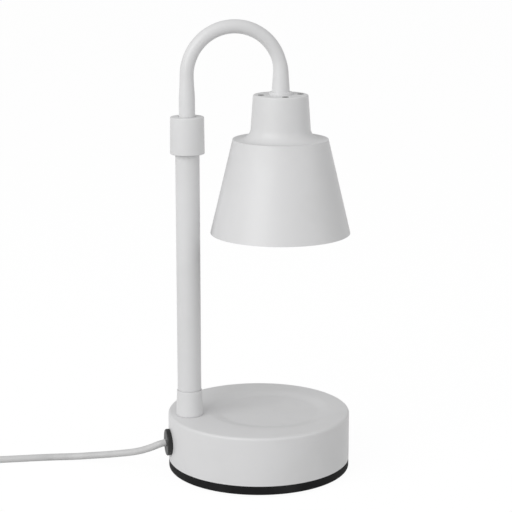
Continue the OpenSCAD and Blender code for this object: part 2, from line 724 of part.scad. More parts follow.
// Steel strap: top plate under the neck, two legs, two feet that the lampholder is screwed to
module holder_bracket() color("silver") at_shade(holder_top) difference() {
    inside = nut_r + 0.7;
    union() {
        translate([-6, -inside - bracket_t, bracket_drop]) cube([12, 2 * (inside + bracket_t), bracket_t]);
        for (s = [-1, 1]) scale([1, s, 1]) {
            translate([-6, inside, 0]) cube([12, bracket_t, bracket_drop + bracket_t]);
            translate([-4, inside, 0]) cube([8, holder_r - inside - 0.6, bracket_t]);
        }
    }
    translate([0, 0, bracket_drop - cut]) cylinder(r = tube_r + set_fit, h = bracket_t + 2 * cut);
    for (s = [-1, 1]) translate([0, s * holder_screw_off, -cut])
        cylinder(r = m3_r + set_fit, h = bracket_t + 2 * cut, $fn = 24);
}

module holder_screws() color("silver") for (s = [-1, 1]) at_shade(holder_z + 2.4)
    translate([0, s * holder_screw_off, 0]) screw(m3_r, holder_h - 2.4 - m3_head_t + bracket_t + 0.8,
        m3_head_r - 0.2, m3_head_t);

// A slot of half width w along an arc of radius r, from angle a to angle b, with round ends
module arc_slot(r, w, a, b) polygon(concat(
    arc(0, 0, r + w, a, b, 4), arc(r * cos(b), r * sin(b), w, b + 22.5, b + 157.5, 6),
    arc(0, 0, r - w, b, a, 4), arc(r * cos(a), r * sin(a), w, a + 202.5, a + 337.5, 6)));

// Ceramic holder. Each pin's head goes up a round hole and turns into a slot that its neck fits
module lampholder() color("ivory") at_shade(holder_z) difference() {
    rotate_extrude() polygon([[0, 0], [holder_r - 1, 0], [holder_r, 1], [holder_r, holder_h - 1.5],
        [holder_r - 1.5, holder_h], [0, holder_h]]);
    for (half = [0, 180]) rotate(half) {
        translate([0, 0, -cut]) linear_extrude(face_t + 2 * cut)
            arc_slot(pin_gap / 2, pin_slot, -lamp_turn, 0);
        translate([0, 0, face_t]) linear_extrude(slot_top - face_t)
            arc_slot(pin_gap / 2, head_slot, -lamp_turn, 0);
        rotate(-lamp_turn) translate([pin_gap / 2, 0, -cut])
            cylinder(r = head_slot + 0.2, h = face_t + 2 * cut, $fn = 32);
    }
    for (s = [-1, 1]) {
        translate([0, s * core_off, holder_h - 3.2]) cylinder(r = core_r + 0.15, h = 5, $fn = 24);
        translate([0, s * holder_screw_off, -cut]) {
            cylinder(r = m3_hole, h = holder_h + 2 * cut, $fn = 24);
            cylinder(r = m3_head_r + 0.2, h = 2.4 + m3_head_t + cut, $fn = 32);
        }
    }
}

module lamp_cap() color("ivory") at_shade() difference() {
    rotate_extrude() polygon([[0, lamp_z], [cap_r - 1, lamp_z], [cap_r, lamp_z - 1],
        [cap_r, lamp_z - cap_h + 2], [cap_r - 1.5, lamp_z - cap_h], [0, lamp_z - cap_h]]);
    for (s = [-1, 1]) translate([s * pin_gap / 2, 0, lamp_z - 4])
        cylinder(r = pin_r + set_fit, h = 4 + cut, $fn = 32);
}

module lamp_pins() color("silver") for (s = [-1, 1]) at_shade(lamp_z - 4) translate([s * pin_gap / 2, 0, 0])
    rotate_extrude($fn = 48) polygon([[0, 0], [pin_r, 0], [pin_r, head_z - lamp_z + 4],
        [pin_head_r, head_z - lamp_z + 4],
                                      [pin_head_r, head_z - lamp_z + 3.4 + pin_head_t],
                                          [pin_head_r - 0.6, head_z - lamp_z + 4 + pin_head_t],
                                      [0, head_z - lamp_z + 4 + pin_head_t]]);

// Glass bowl of the lamp: a parabola from the cap to the front band
bowl_top = lamp_z - cap_h;
bowl_h = bowl_top - front_z - lamp_band;
function bowl(t, inset) = [sqrt(pow(9 - inset, 2) + (pow(lamp_r - 1 - inset, 2) - pow(9 - inset, 2)) * t),
    bowl_top - bowl_h * t];

module lamp_reflector() color("lightgray") at_shade() rotate_extrude() polygon(concat(
    [for (i = [0:12]) bowl(i / 12, 0)],
    [[lamp_r, front_z + lamp_band], [lamp_r, front_z + 0.6], [lamp_r - 0.6, front_z],
        [lamp_r - glass_t, front_z],
     [lamp_r - glass_t, front_z + lens_t + 0.4], [lamp_r - 1 - glass_t, front_z + lens_t + 0.4]],
    [for (i = [12:-1:0]) bowl(i / 12, glass_t)]));

module lamp_burner() color("lightcyan") at_shade() rotate_extrude($fn = 48)
    polygon(concat([[0, bowl_top], [3.2, bowl_top], [3.2, bowl_top - 4], [4.2, bowl_top - 6],
        [4.2, bowl_top - 17]],
                   arc(0, bowl_top - 17, 4.2, 0, -80, 6), [[0, bowl_top - 21.4]]));

module lamp_lens() color("lightcyan") at_shade(front_z + 0.4)
    cylinder(r = lamp_r - glass_t - 0.02, h = lens_t);

module lamp_cord() color("white") sweep(smooth(lamp_route, 2), cord_r, 10, [-1, 0, 0], [-1, 0, 0]);

module at_dimmer(z = 0) translate([dimmer_x, dimmer_y, z]) children();

// A soft-edged block: rounded rectangles of size l by w, each row of p gives a height and an inset
module soft_block(l, w, r, p) hull() for (q = p) translate([0, 0, q.x]) linear_extrude(0.01)
    soft_rect(l - 2 * q.y, w - 2 * q.y, r - q.y * 0.6);

// The dimmer's closed case, flat underneath and domed on top
module dimmer_case() soft_block(dimmer_l, dimmer_w, 8, [[0, 1.8], [0.5, 0.8], [1.4, 0.2], [2.6, 0],
    [dimmer_h - 6, 0], [dimmer_h - 3.6, 0.5], [dimmer_h - 2, 1.5], [dimmer_h - 0.9, 3],
        [dimmer_h - 0.3, 4.8], [dimmer_h - 0.01, 7]]);

// The room inside it
module dimmer_room() {
    translate([0, 0, case_wall]) linear_extrude(dimmer_h - 3.4 - case_wall)
        soft_rect(dimmer_l - 2 * case_wall, dimmer_w - 2 * case_wall, 6.4);
    translate([0, 0, dimmer_h - 3.5]) linear_extrude(1.7) soft_rect(dimmer_l - 12, dimmer_w - 12, 4);
}
dimmer_screw_off = dimmer_l / 2 - 8;

// Lower half of the dimmer's case, with the wheel's axle and two screw posts
module dimmer_base() color("white") difference() {
    union() {
        at_dimmer() difference() {
            dimmer_case();
            dimmer_room();
            translate([-dimmer_l, -dimmer_w, dimmer_split]) cube([2 * dimmer_l, 2 * dimmer_w, dimmer_h]);
        }
        for (s = [-1, 1]) at_dimmer(case_wall - 0.5) translate([s * dimmer_screw_off, -6, 0])
            cylinder(r = 3.9, h = dimmer_split - case_wall + 0.5, $fn = 32);
        translate([dimmer_x, wheel_y, case_wall - 0.5]) {
            cylinder(r = 3.6, h = wheel_z - case_wall + 0.5 - free, $fn = 32);
            cylinder(r = axle_r, h = wheel_z + wheel_t - case_wall + 1, $fn = 48);
        }
    }
    for (s = [-1, 1]) at_dimmer() translate([s * dimmer_screw_off, -6, 0]) {
        translate([0, 0, -cut]) cylinder(r = m3_hole, h = dimmer_split + 2 * cut, $fn = 24);
        translate([0, 0, -cut]) cylinder(r = m3_head_r + 0.2, h = m3_head_t + cut, $fn = 32);
    }
    relief_holes();
}

// Round holes at both ends of the dimmer's case for its reliefs
module relief_holes() for (s = [-1, 1]) at_dimmer(dimmer_axis) translate([s * (dimmer_l / 2), 0, 0])
    rotate([0, s * 90, 0])
    translate([0, 0, -case_wall - cut]) cylinder(r = relief_r - 0.8, h = case_wall + 2 * cut, $fn = 32);

// Upper half of the dimmer's case, a soft-edged shell with a slot for the wheel
module dimmer_cover() color("white") difference() {
    at_dimmer() difference() {
        dimmer_case();
        dimmer_room();
        translate([-dimmer_l, -dimmer_w, dimmer_split - dimmer_h])
            cube([2 * dimmer_l, 2 * dimmer_w, dimmer_h]);
    }
    translate([dimmer_x, wheel_y, wheel_z - 0.6]) cylinder(d = wheel_d + 1.2, h = wheel_t + 1.2);
    relief_holes();
}

module dimmer_wheel() color("lightgray") translate([dimmer_x, wheel_y, wheel_z]) difference() {
    union() {
        cylinder(d = wheel_d - 1, h = wheel_t);
        for (i = [0:wheel_ribs - 1]) rotate(i * 360 / wheel_ribs) translate([wheel_d / 2 - 1, -0.5, 0.4])
            cube([1, 1, wheel_t - 0.8]);
    }
    translate([0, 0, -cut]) cylinder(r = axle_r + slip, h = wheel_t + 2 * cut, $fn = 48);
}

// Circuit board with a switching device, a capacitor and a resistor
module dimmer_board() color("darkgreen") at_dimmer(case_wall) {
    translate([-15, -10.5, 0]) cube([30, 10, 1.6]);
    translate([-12, -9.5, 1]) cube([4, 8, 4.6]);
    translate([3, -5.5, 1]) cylinder(r = 2.6, h = 5, $fn = 32);
    translate([9, -9, 1]) cube([3, 7, 2.4]);
}

module dimmer_screws() color("silver") for (s = [-1, 1]) at_dimmer(0.3)
    translate([s * dimmer_screw_off, -6, 0])
    screw(m3_core_r, dimmer_split - m3_head_t - 0.3, m3_head_r - 0.1, m3_head_t - 0.3);

// Outline of a tapered relief from radius a at z = 0 to radius b at z = l, with n grooves round it
function relief_side(a, b, l, n) = [for (i = [0:n - 1]) let (
    step = (l - 4) / n, z = 2 + step * i, r = a + (b - a) * z / l)
    each [[r, z], [r, z + step * 0.45], [r - 0.55, z + step * 0.55], [r - 0.55, z + step * 0.9]]];

// Soft tapered sleeves where the cord enters and leaves the dimmer
module dimmer_reliefs() color("white") for (s = [-1, 1]) at_dimmer(dimmer_axis)
    translate([s * (dimmer_l / 2), 0, 0]) rotate([0, s * 90, 0])
    rotate_extrude($fn = 48) polygon(concat([[0, -case_wall], [relief_r - 0.9, -case_wall],
        [relief_r - 0.9, 0], [relief_r, 0]],
        relief_side(relief_r, relief_tip_r, relief_l, 6),
        [[relief_tip_r + 0.1, relief_l - 2], [relief_tip_r, relief_l - 0.4],
            [relief_tip_r - 0.3, relief_l], [0, relief_l]]));

module supply_cord() color("white") sweep(smooth(supply_route, 2), cord_r, 10, [-1, 0, 0], [0, -1, 0]);

// The coil's line: a straight start, a spiral in on the table, a climb in half a turn, a spiral out on top
function coil_r(t) = coil_inner + coil_pitch * abs(t - coil_in);
function coil_z(t) = cord_r + coil_pitch * ease(max(0, min(1, (t - coil_in) / 0.5 + 0.5)));
function coil_point(t) = let (a = 180 + 360 * t) [coil_at.x + coil_r(t) * cos(a),
    coil_at.y + coil_r(t) * sin(a), coil_z(t)];
coil_steps = round(coil_turns * coil_rings);
coil_line = concat([[coil_join.x, coil_join.y, cord_r]],
                   [for (i = [0:coil_steps]) coil_point(i / coil_rings)],
                   [plug_tip]);

// Least clear distance between turns, measured between points at least a third of a turn apart
coil_apart = min([for (i = [0:len(coil_line) - 1]) for (j = [i + coil_rings / 3:1:len(coil_line) - 1])
    norm(coil_line[i] - coil_line[j])]) - cord_d;

module supply_coil() color("white") {
    echo(str("least gap between the coil's turns, mm: ", coil_apart));
    echo(str("free cord length, mm: ", route_length(smooth(lamp_route,
        2)) + route_length(smooth(supply_route, 2)) + route_length(coil_line)));
    sweep(coil_line, cord_r, 6, [0, -1, 0], [1, 0, 0]);
}

function route_length(p, i = 1) = i >= len(p) ? 0 : norm(p[i] - p[i - 1]) + route_length(p, i + 1);

module plug_relief() color("white") translate(plug_tip) rotate([0, 90, 0])
    translate([0, 0, plug_relief_l]) mirror([0, 0, 1]) rotate_extrude($fn = 48)
        polygon(concat([[0, 0], [plug_relief_r, 0]], relief_side(plug_relief_r, relief_tip_r,
            plug_relief_l, 7),
            [[relief_tip_r + 0.1, plug_relief_l - 2], [relief_tip_r, plug_relief_l - 0.4],
                [relief_tip_r - 0.3, plug_relief_l],
             [0, plug_relief_l]]));

plug_x = plug_tip.x + plug_relief_l;
module plug_body() color("white") translate([plug_x, plug_tip.y, plug_tip.z]) rotate([90, 0, 90])
    difference() {
    union() {
        // grip, slimmer towards the cord, and the wider face block
        soft_block(plug_w - 4, plug_h, 6, [[0, 3], [1.2, 1.8], [4, 1], [9, 0.6], [plug_l - 4, 0.6]]);
        soft_block(plug_w, plug_h, 6, [[plug_l - 12, 3.1], [plug_l - 9, 1.1], [plug_l - 7, 0.3],
            [plug_l - 5, 0],
                                       [plug_l - 2, 0], [plug_l - 0.6, 0.5], [plug_l - 0.01, 1.3]]);
    }
    // finger grooves
    for (s = [-1, 1], z = [7, 10.5, 14, 17.5]) translate([s * (plug_w / 2 - 2.1), 0, z]) rotate([90, 0, 0])
        cylinder(r = 0.8, h = 30, center = true, $fn = 16);
    for (s = [-1, 1]) translate([s * blade_gap / 2 - 0.8, -3.3, plug_l - 8]) cube([1.6, 6.6, 8 + cut]);
}

module plug_blades() color("silver") translate([plug_x, plug_tip.y, plug_tip.z]) rotate([90, 0, 90])
    for (s = [-1, 1]) difference() {
    translate([s * blade_gap / 2 - 0.75, -3.15, plug_l - 8]) cube([1.5, 6.3, blade_l + 8]);
    translate([s * blade_gap / 2, 0, plug_l + blade_l - 5.5]) rotate([0, 90, 0])
        cylinder(r = 1.6, h = 4, center = true, $fn = 24);
}

base_shell();
base_tray();
ballast_weight();
ballast_screws();
base_screws();
rubber_feet();
cord_grommet();
cord_clamp();
clamp_screws();
inner_cord();
terminal_block();
mains_cores();
riser_leads();
column_tube();
column_ferrule();
column_plug();
column_nipple();
column_washer();
column_nut();
column_leads();
guide_bush();
collet();
lock_collar();
stop_bush();
hook_tube();
leg_rings();
hook_leads();
shade_ring();
shade_nipple();
shade_nut();
shade_shell();
holder_bracket();
holder_screws();
lampholder();
lamp_cap();
lamp_pins();
lamp_reflector();
lamp_burner();
lamp_lens();
lamp_cord();
dimmer_base();
dimmer_cover();
dimmer_wheel();
dimmer_board();
dimmer_screws();
dimmer_reliefs();
supply_cord();
supply_coil();
plug_relief();
plug_body();
plug_blades();
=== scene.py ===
"""A candle warmer lamp: a weighted round base with a candle dish, a column with a locking collar, a hooked
tube that slides and turns in it, a bell shade round a reflector lamp, and a mains cord with a dimmer."""

import math
from functools import partial

import bmesh
import bpy
from mathutils import Matrix, Vector


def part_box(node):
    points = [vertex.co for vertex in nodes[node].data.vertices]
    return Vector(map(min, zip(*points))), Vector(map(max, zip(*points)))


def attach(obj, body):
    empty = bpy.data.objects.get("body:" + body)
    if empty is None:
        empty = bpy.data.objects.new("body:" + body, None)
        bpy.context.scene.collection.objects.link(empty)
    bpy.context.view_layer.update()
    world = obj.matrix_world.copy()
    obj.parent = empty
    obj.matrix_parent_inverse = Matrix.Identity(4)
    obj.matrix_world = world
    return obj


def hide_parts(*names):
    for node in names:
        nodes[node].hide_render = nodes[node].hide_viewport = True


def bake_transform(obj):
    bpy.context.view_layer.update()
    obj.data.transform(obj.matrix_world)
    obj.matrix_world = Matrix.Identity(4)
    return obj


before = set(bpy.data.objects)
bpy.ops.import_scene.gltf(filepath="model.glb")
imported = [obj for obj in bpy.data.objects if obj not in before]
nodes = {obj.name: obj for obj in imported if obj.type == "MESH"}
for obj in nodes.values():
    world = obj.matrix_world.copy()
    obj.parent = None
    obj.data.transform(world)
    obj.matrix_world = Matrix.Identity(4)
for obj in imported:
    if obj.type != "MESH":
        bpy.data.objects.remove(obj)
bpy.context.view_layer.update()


# The view: a long lens a little over a metre away, just left of the lamp's front and looking down on it.
# The lamp stands at the origin, with the column at -X and the shade at +X.
mm = 0.001
column_x, shade_x = -50.5, 15.5
sensor_width = 36
photo_width, focal_length = 512, 1671.7  # pixels
away, eye_height = 1150 * mm, 416.4 * mm
round_from_front, aside, dip = math.radians(-12.6), math.radians(0.1), math.radians(12.8)


def placed(name, data):
    """An object with this data, linked to the scene."""
    thing = bpy.data.objects.new(name, data)
    bpy.context.scene.collection.objects.link(thing)
    return thing


eye = Vector((math.sin(round_from_front) * away, -math.cos(round_from_front) * away, eye_height))
pan = math.atan2(-eye.y, -eye.x) + aside
sight = Vector((math.cos(pan) * math.cos(dip), math.sin(pan) * math.cos(dip), -math.sin(dip)))
lens = bpy.data.cameras.new("photo_view")
lens.sensor_width = sensor_width
lens.lens = sensor_width * focal_length / photo_width
lens.clip_start = 0.05
view = placed("photo_view", lens)
view.location = eye
view.rotation_euler = sight.to_track_quat("-Z", "Y").to_euler()
bpy.context.scene.camera = view


# The dimmer on the cord: two snapped halves of satin white plastic with a knurled thumb wheel between them,
# a small circuit board inside and two screws from below.
dimmer_at = Vector((-307, 58, 0)) * mm
case_end, case_axis = 29 * mm, 7 * mm
wheel_at = Vector((-307, 62.6, 9.2)) * mm
wheel_r, wheel_t, wheel_bore, wheel_ribs = 11, 5, 2.08, 32
rib_r, rib_inset = 0.5, 0.4


def colour(r, g, b):
    return (r, g, b, 1)


def wire(tree, *pairs):
    for start, end in pairs:
        tree.links.new(start, end)


# fine, even grain of a moulded or sprayed skin, and soft patches where hands and dust have dulled it
grain = bpy.data.node_groups.new("fine_grain", "ShaderNodeTree")
for label in ("Grain", "Patch"):
    grain.interface.new_socket(label, in_out="INPUT", socket_type="NodeSocketFloat")
for label in ("Height", "Patches"):
    grain.interface.new_socket(label, in_out="OUTPUT", socket_type="NodeSocketFloat")
given = grain.nodes.new("NodeGroupInput")
made = grain.nodes.new("NodeGroupOutput")
spot = grain.nodes.new("ShaderNodeTexCoord")
speck = grain.nodes.new("ShaderNodeTexNoise")
speck.inputs["Detail"].default_value = 2
patch = grain.nodes.new("ShaderNodeTexNoise")
patch.inputs["Detail"].default_value = 4
patch.inputs["Roughness"].default_value = 0.6
spread = grain.nodes.new("ShaderNodeMapRange")
spread.interpolation_type = "SMOOTHSTEP"
spread.inputs["From Min"].default_value = 0.4
spread.inputs["From Max"].default_value = 0.7
wire(grain, (spot.outputs["Object"], speck.inputs["Vector"]), (spot.outputs["Object"], patch.inputs["Vector"]),
     (given.outputs["Grain"], speck.inputs["Scale"]), (given.outputs["Patch"], patch.inputs["Scale"]),
     (speck.outputs["Fac"], made.inputs["Height"]), (patch.outputs["Fac"], spread.inputs["Value"]),
     (spread.outputs["Result"], made.inputs["Patches"]))


def finish(name, clean, dull, roughness, grain_size, patch_size, depth, metal=0.0, coat=0.0, gloss=0.5):
    """A surface that goes from its clean colour and roughness to its dull ones in soft patches, over a fine
    grain of this depth in millimetres."""
    material = bpy.data.materials.new(name)
    material.use_nodes = True
    tree = material.node_tree
    skin = tree.nodes["Principled BSDF"]
    marks = tree.nodes.new("ShaderNodeGroup")
    marks.node_tree = grain
    marks.inputs["Grain"].default_value = grain_size
    marks.inputs["Patch"].default_value = patch_size
    tint = tree.nodes.new("ShaderNodeMix")
    tint.data_type = "RGBA"
    tint.inputs["A"].default_value = colour(*clean)
    tint.inputs["B"].default_value = colour(*dull)
    shine = tree.nodes.new("ShaderNodeMapRange")
    shine.inputs["To Min"].default_value, shine.inputs["To Max"].default_value = roughness
    bump = tree.nodes.new("ShaderNodeBump")
    bump.inputs["Strength"].default_value = 0.5
    bump.inputs["Distance"].default_value = depth * mm
    skin.inputs["Metallic"].default_value = metal
    skin.inputs["Coat Weight"].default_value = coat
    skin.inputs["Specular IOR Level"].default_value = gloss
    wire(tree, (marks.outputs["Patches"], tint.inputs["Factor"]), (marks.outputs["Patches"], shine.inputs["Value"]),
         (marks.outputs["Height"], bump.inputs["Height"]), (tint.outputs["Result"], skin.inputs["Base Color"]),
         (shine.outputs["Result"], skin.inputs["Roughness"]), (bump.outputs["Normal"], skin.inputs["Normal"]))
    return material


def kept(node, material):
    """A solid that stays as it is and gets its own finish."""
    mesh = nodes[node].data
    mesh.materials.clear()
    mesh.materials.append(material)


def own_copy(node, name):
    """A solid's mesh as a piece of its own, its loose triangles joined up and its flat shading taken off."""
    mesh = nodes[node].data.copy()
    mesh.name = name
    mesh.attributes.remove(mesh.attributes["custom_normal"])
    work = bmesh.new()
    work.from_mesh(mesh)
    bmesh.ops.remove_doubles(work, verts=work.verts, dist=2e-6)
    work.to_mesh(mesh)
    work.free()
    return placed(name, mesh)


def coated(piece, material, sharp=32):
    """One material all over, smooth but for the edges sharper than that angle."""
    piece.data.materials.clear()
    piece.data.materials.append(material)
    piece.data.shade_smooth()
    piece.data.set_sharp_from_angle(angle=math.radians(sharp))
    return piece


def stands_for(piece, body, slot, *replaced):
    """The piece moves with the body and shows instead of the solids."""
    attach(piece, body)
    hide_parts(*replaced)


def turned(name, outline, steps, place=Matrix(), ring=False):
    """A part turned on a lathe: the outline's rows are radius and height in millimetres. A ring has a bore, and
    a solid begins and ends on its axis."""
    work = bmesh.new()
    rows = []
    for r, z in outline:
        around = [2 * math.pi * k / steps for k in range(steps if r > 0 else 1)]
        rows.append([work.verts.new((r * mm * math.cos(a), r * mm * math.sin(a), z * mm)) for a in around])
    for low, high in zip(rows, rows[1:] + rows[:1] if ring else rows[1:]):
        for k in range(steps):
            after = (k + 1) % steps
            corners = [low[k % len(low)], low[after % len(low)], high[after % len(high)], high[k % len(high)]]
            work.faces.new(list(dict.fromkeys(corners)))
    bmesh.ops.recalc_face_normals(work, faces=work.faces)
    bmesh.ops.transform(work, matrix=place, verts=work.verts)
    mesh = bpy.data.meshes.new(name)
    work.to_mesh(mesh)
    work.free()
    return placed(name, mesh)


def blank(name):
    return placed(name, bpy.data.meshes.new(name))


def recipe(name, sizes):
    """An empty shape tree: a starting mesh and the named sizes go in, and the finished mesh comes out."""
    tree = bpy.data.node_groups.new(name, "GeometryNodeTree")
    tree.is_modifier = True
    tree.interface.new_socket("Start", in_out="INPUT", socket_type="NodeSocketGeometry")
    for label, kind in sizes:
        tree.interface.new_socket(label, in_out="INPUT", socket_type="NodeSocket" + kind)
    tree.interface.new_socket("Finish", in_out="INPUT", socket_type="NodeSocketMaterial")
    tree.interface.new_socket("Mesh", in_out="OUTPUT", socket_type="NodeSocketGeometry")
    return tree, tree.nodes.new("NodeGroupInput").outputs


def step(tree, kind, inputs, **settings):
    """A node with its settings, its inputs given as numbers or as other nodes' outputs. Gives its first output."""
    node = tree.nodes.new(kind)
    for name, value in settings.items():
        setattr(node, name, value)
    for name, value in inputs.items():
        if isinstance(value, list):
            for one in value:
                tree.links.new(one, node.inputs[name])
        elif isinstance(value, bpy.types.NodeSocket):
            tree.links.new(value, node.inputs[name])
        else:
            node.inputs[name].default_value = value
    return node.outputs[0]


def maths(tree, kind, a, b=0.0, c=0.0):
    """One sum, such as ADD or MULTIPLY_ADD, on numbers or other nodes' outputs."""
    return step(tree, "ShaderNodeMath", {0: a, 1: b, 2: c}, operation=kind)


def raised(tree, shape, height):
    lift = step(tree, "ShaderNodeCombineXYZ", {"Z": height})
    return step(tree, "GeometryNodeTransform", {"Geometry": shape, "Translation": lift})


def points_round(tree, count, radius, start):
    """That many points round a circle, from the start angle on, and each point's angle."""
    share = maths(tree, "DIVIDE", step(tree, "GeometryNodeInputIndex", {}), count)
    turn = maths(tree, "MULTIPLY_ADD", share, 2 * math.pi, start)
    x = maths(tree, "MULTIPLY", radius, maths(tree, "COSINE", turn))
    y = maths(tree, "MULTIPLY", radius, maths(tree, "SINE", turn))
    place = step(tree, "ShaderNodeCombineXYZ", {"X": x, "Y": y})
    return step(tree, "GeometryNodePoints", {"Count": count, "Position": place}), turn


def hand_over(tree, shape, material):
    """Ends the tree: its instances become one mesh with the finish."""
    mesh = step(tree, "GeometryNodeRealizeInstances", {"Geometry": shape})
    mesh = step(tree, "GeometryNodeSetMaterial", {"Geometry": mesh, "Material": material})
    tree.links.new(mesh, tree.nodes.new("NodeGroupOutput").inputs["Mesh"])


def worked_out(piece, tree, material, **sizes):
    """Runs the shape tree on the piece with these sizes, and keeps the result as the piece's plain mesh."""
    change = piece.modifiers.new(tree.name, "NODES")
    change.node_group = tree
    for item in tree.interface.items_tree:
        label = item.name.lower().replace(" ", "_")
        if item.in_out == "INPUT" and label in sizes:
            change[item.identifier] = sizes[label]
        elif item.in_out == "INPUT" and label == "finish":
            change[item.identifier] = material
    now = bpy.context.evaluated_depsgraph_get()
    mesh = bpy.data.meshes.new_from_object(piece.evaluated_get(now), depsgraph=now)
    piece.modifiers.clear()
    piece.data = mesh
    mesh.name = piece.name
    return piece


# pan-head screws with a cross recess and a rolled thread, set round a circle with the recess at any angle
thread_pitch, thread_r = 0.8, 0.18
dome, slot_length, slot_width, slot_depth = 0.24, 0.95, 0.2, 1.1  # shares of the head's radius or height
pan_screws, size = recipe("pan_head_screws", (
    ("Head Radius", "Float"), ("Head Height", "Float"), ("Core Radius", "Float"), ("Length", "Float"),
    ("Count", "Int"), ("Circle", "Float"), ("First Angle", "Float"), ("Centre", "Vector"), ("Tip Over", "Vector")))
add, calc = partial(step, pan_screws), partial(maths, pan_screws)
head_r, head_t, core_r, length = (size[label] for label in ("Head Radius", "Head Height", "Core Radius", "Length"))
head = add("GeometryNodeMeshCylinder", {"Vertices": 28, "Side Segments": 6, "Radius": head_r, "Depth": head_t})
head = raised(pan_screws, head, calc("MULTIPLY", head_t, 0.5))
apart = add("ShaderNodeSeparateXYZ", {"Vector": add("GeometryNodeInputPosition", {})}).node.outputs
below_top = calc("SUBTRACT", 1.0, calc("DIVIDE", apart["Z"], head_t))
narrow = calc("SUBTRACT", 1.0, calc("MULTIPLY", dome, calc("POWER", below_top, 3.0)))
drawn_in = add("ShaderNodeCombineXYZ", {"X": calc("MULTIPLY", apart["X"], narrow),
                                        "Y": calc("MULTIPLY", apart["Y"], narrow), "Z": apart["Z"]})
head = add("GeometryNodeSetPosition", {"Geometry": head, "Position": drawn_in})
arm = calc("MULTIPLY", head_r, slot_length)
slim = calc("MULTIPLY", head_r, slot_width)
deep = calc("MULTIPLY", head_t, slot_depth)
bars = [add("GeometryNodeMeshCube", {"Size": add("ShaderNodeCombineXYZ", {"X": a, "Y": b, "Z": deep})})
        for a, b in ((arm, slim), (slim, arm))]
head = add("GeometryNodeMeshBoolean", {"Mesh 1": head, "Mesh 2": bars}, operation="DIFFERENCE", solver="EXACT")
shank = add("GeometryNodeMeshCylinder", {"Vertices": 20, "Radius": core_r, "Depth": length})
shank = raised(pan_screws, shank, calc("MULTIPLY_ADD", length, 0.5, head_t))
helix = add("GeometryNodeCurveSpiral", {
    "Resolution": 14, "Rotations": calc("DIVIDE", length, thread_pitch * mm), "Start Radius": core_r,
    "End Radius": core_r, "Height": calc("MULTIPLY", length, 0.94)})
crest = add("GeometryNodeCurvePrimitiveCircle", {"Resolution": 4, "Radius": thread_r * mm})
thread = add("GeometryNodeCurveToMesh", {"Curve": helix, "Profile Curve": crest, "Fill Caps": True})
thread = raised(pan_screws, thread, calc("MULTIPLY_ADD", length, 0.03, head_t))
one_screw = add("GeometryNodeTransform", {
    "Geometry": add("GeometryNodeJoinGeometry", {"Geometry": [head, shank, thread]}), "Rotation": size["Tip Over"]})
spots, _ = points_round(pan_screws, size["Count"], size["Circle"], size["First Angle"])
any_turn = pan_screws.nodes.new("FunctionNodeRandomValue")
any_turn.inputs["Seed"].default_value = 7
any_angle = add("ShaderNodeCombineXYZ", {"Z": calc("MULTIPLY", any_turn.outputs[1], 3.0)})
set_out = add("GeometryNodeInstanceOnPoints", {"Points": spots, "Instance": one_screw, "Rotation": any_angle})
set_out = add("GeometryNodeTransform", {"Geometry": set_out, "Translation": size["Centre"]})
hand_over(pan_screws, set_out, size["Finish"])

zinc = finish("zinc_steel", (0.62, 0.62, 0.63), (0.5, 0.5, 0.5), (0.28, 0.42), grain_size=600, patch_size=80,
              depth=0.02, metal=1.0)


def screws(name, node, body, head, core, length, count, circle, centre, first=0, tip_over=0):
    """Zinc screws instead of a solid, in millimetres and degrees. A head is its radius and height."""
    piece = worked_out(blank(name), pan_screws, zinc, head_radius=head[0] * mm, head_height=head[1] * mm,
                       core_radius=core * mm, length=length * mm, count=count, circle=circle * mm,
                       first_angle=math.radians(first), centre=[c * mm for c in centre],
                       tip_over=(math.radians(tip_over), 0.0, 0.0))
    stands_for(coated(piece, zinc, 35), body, "steel", node)
    return piece


# the wheel's ribs, each a thin rounded bar, stood round its disc
ribbed_wheel, size = recipe("ribbed_wheel", (
    ("Ribs", "Int"), ("Rib Radius", "Float"), ("Circle", "Float"), ("Height", "Float"), ("Inset", "Float"),
    ("Centre", "Vector")))
add, calc = partial(step, ribbed_wheel), partial(maths, ribbed_wheel)
rib = add("GeometryNodeMeshCylinder", {"Vertices": 10, "Radius": size["Rib Radius"], "Depth": size["Height"]})
spots, _ = points_round(ribbed_wheel, size["Ribs"], size["Circle"], 0.0)
ribs = add("GeometryNodeInstanceOnPoints", {"Points": spots, "Instance": rib})
ribs = raised(ribbed_wheel, ribs, calc("MULTIPLY_ADD", size["Height"], 0.5, size["Inset"]))
whole = add("GeometryNodeJoinGeometry", {"Geometry": [ribs, size["Start"]]})
whole = add("GeometryNodeTransform", {"Geometry": whole, "Translation": size["Centre"]})
hand_over(ribbed_wheel, whole, size["Finish"])

case_plastic = finish("case_plastic", (0.7, 0.7, 0.69), (0.66, 0.66, 0.65), (0.35, 0.48), grain_size=600,
                      patch_size=40, depth=0.03)
for half in ("dimmer_base", "dimmer_cover"):
    case_half = coated(own_copy(half, half.replace("dimmer", "dimmer_case")), case_plastic, 38)
    stands_for(case_half, "base", "white_plastic", half)
wheel_plastic = finish("wheel_plastic", (0.5, 0.5, 0.5), (0.45, 0.45, 0.45), (0.35, 0.5), grain_size=600,
                       patch_size=60, depth=0.03)
lower_half = [(wheel_bore, 0), (8.6, 0), (9.2, 0.5), (10.2, 0.5), (10.45, 0.8)]
disc = lower_half + [(r, wheel_t - z) for r, z in reversed(lower_half)]
thumb_wheel = worked_out(turned("thumb_wheel", disc, 96, ring=True), ribbed_wheel, wheel_plastic, ribs=wheel_ribs,
                         rib_radius=rib_r * mm, circle=(wheel_r - rib_r - 0.02) * mm,
                         height=(wheel_t - 2 * rib_inset) * mm, inset=rib_inset * mm, centre=wheel_at)
stands_for(coated(thumb_wheel, wheel_plastic, 30), "dimmer_wheel", "wheel_plastic", "dimmer_wheel")
